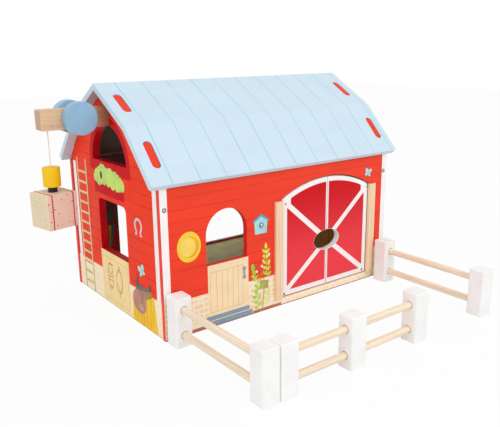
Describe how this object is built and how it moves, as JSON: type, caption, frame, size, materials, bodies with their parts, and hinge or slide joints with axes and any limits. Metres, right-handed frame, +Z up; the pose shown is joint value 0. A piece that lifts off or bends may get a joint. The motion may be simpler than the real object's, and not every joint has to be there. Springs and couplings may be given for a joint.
{
  "type": "toy barn",
  "caption": "Wooden toy barn with a gambrel roof, arched double doors that open, a crank-free hoist that lifts a hay bale on a magnet, and post-and-rail fence sections.",
  "frame": {"origin": "centre of the barn's footprint, on the surface that it stands on", "axes": "+Z up, -Y out through the double doors, -X out under the hoist"},
  "size_m": [0.4895, 0.4564, 0.2979],
  "materials": {
    "barn_red": "printed and lacquered plywood, satin",
    "door_red": "printed and lacquered plywood, satin",
    "roof_blue": "pale blue satin paint",
    "floor_wood": "clear lacquered plywood",
    "post_wood": "clear lacquered beech",
    "beam_wood": "clear lacquered beech",
    "axle_wood": "clear lacquered beech",
    "dowel_wood": "clear lacquered beech dowel",
    "fence_white": "white satin paint",
    "wheel_blue": "blue satin paint",
    "hook_yellow": "yellow satin paint",
    "bale_wood": "printed light wood, satin",
    "magnet_black": "dark magnet",
    "disc_steel": "plain steel",
    "pin_steel": "plain steel",
    "screw_steel": "zinc plated steel",
    "string_cotton": "twisted cotton"
  },
  "bodies": {
    "barn": {"back_wall": "barn_red", "crane_beam": "beam_wood", "door_post_left": "post_wood", "door_post_right": "post_wood", "floor_panel": "floor_wood", "front_wall": "barn_red", "gable_left": "barn_red", "gable_right": "barn_red", "guide_pin": "axle_wood", "hoist_string": "string_cotton", "roof_back_lower": "roof_blue", "roof_back_upper": "roof_blue", "roof_front_lower": "roof_blue", "roof_front_upper": "roof_blue", "string_run": "string_cotton", "wall_screws_back": "screw_steel", "wall_screws_front": "screw_steel"},
    "door_left": {"door_left": "door_red", "hinge_pins_left": "pin_steel"},
    "door_right": {"door_right": "door_red", "hinge_pins_right": "pin_steel"},
    "winch": {"string_winding": "string_cotton", "winch_axle": "axle_wood", "winch_spool": "axle_wood", "winch_wheel_back": "wheel_blue", "winch_wheel_front": "wheel_blue"},
    "hook": {"hook_body": "hook_yellow", "hook_magnet": "magnet_black"},
    "bale": {"bale_disc": "disc_steel", "hay_bale": "bale_wood"},
    "fence_left": {"fence_left_post_back": "fence_white", "fence_left_post_front": "fence_white", "fence_left_rail_lower": "dowel_wood", "fence_left_rail_upper": "dowel_wood"},
    "fence_front": {"fence_front_post_left": "fence_white", "fence_front_post_middle": "fence_white", "fence_front_post_right": "fence_white", "fence_front_rail_lower": "dowel_wood", "fence_front_rail_upper": "dowel_wood"},
    "fence_right": {"fence_right_post_back": "fence_white", "fence_right_post_front": "fence_white", "fence_right_rail_lower": "dowel_wood", "fence_right_rail_upper": "dowel_wood"}
  },
  "joints": [
    {"name": "door_left_hinge", "type": "hinge", "parent": "barn", "child": "door_left", "pos_m": [-0.0048, -0.1268, 0.08], "axis": [0, 0, -1], "range_deg": [0, 100]},
    {"name": "door_right_hinge", "type": "hinge", "parent": "barn", "child": "door_right", "pos_m": [0.1472, -0.1268, 0.08], "axis": [0, 0, 1], "range_deg": [0, 100]},
    {"name": "winch_spin", "type": "hinge", "parent": "barn", "child": "winch", "pos_m": [-0.229, 0, 0.259], "axis": [0, -1, 0], "range_deg": [-1461, 473]},
    {"name": "hook_lift", "type": "slide", "parent": "barn", "child": "hook", "axis": [0, 0, 1], "range_m": [-0.125, 0.0405], "deforming": ["hoist_string"]},
    {"name": "bale_pull", "type": "slide", "parent": "hook", "child": "bale", "axis": [0, 0, -1], "range_m": [0, 0.03]},
    {"name": "fence_left_lift", "type": "slide", "parent": "barn", "child": "fence_left", "axis": [0, 0, 1], "range_m": [0, 0.07]},
    {"name": "fence_front_lift", "type": "slide", "parent": "barn", "child": "fence_front", "axis": [0, 0, 1], "range_m": [0, 0.07]},
    {"name": "fence_right_lift", "type": "slide", "parent": "barn", "child": "fence_right", "axis": [0, 0, 1], "range_m": [0, 0.07]}
  ],
  "couplings": [
    {"joint": "hook_lift", "follows": "winch_spin", "m_per_rad": 0.0049}
  ]
}
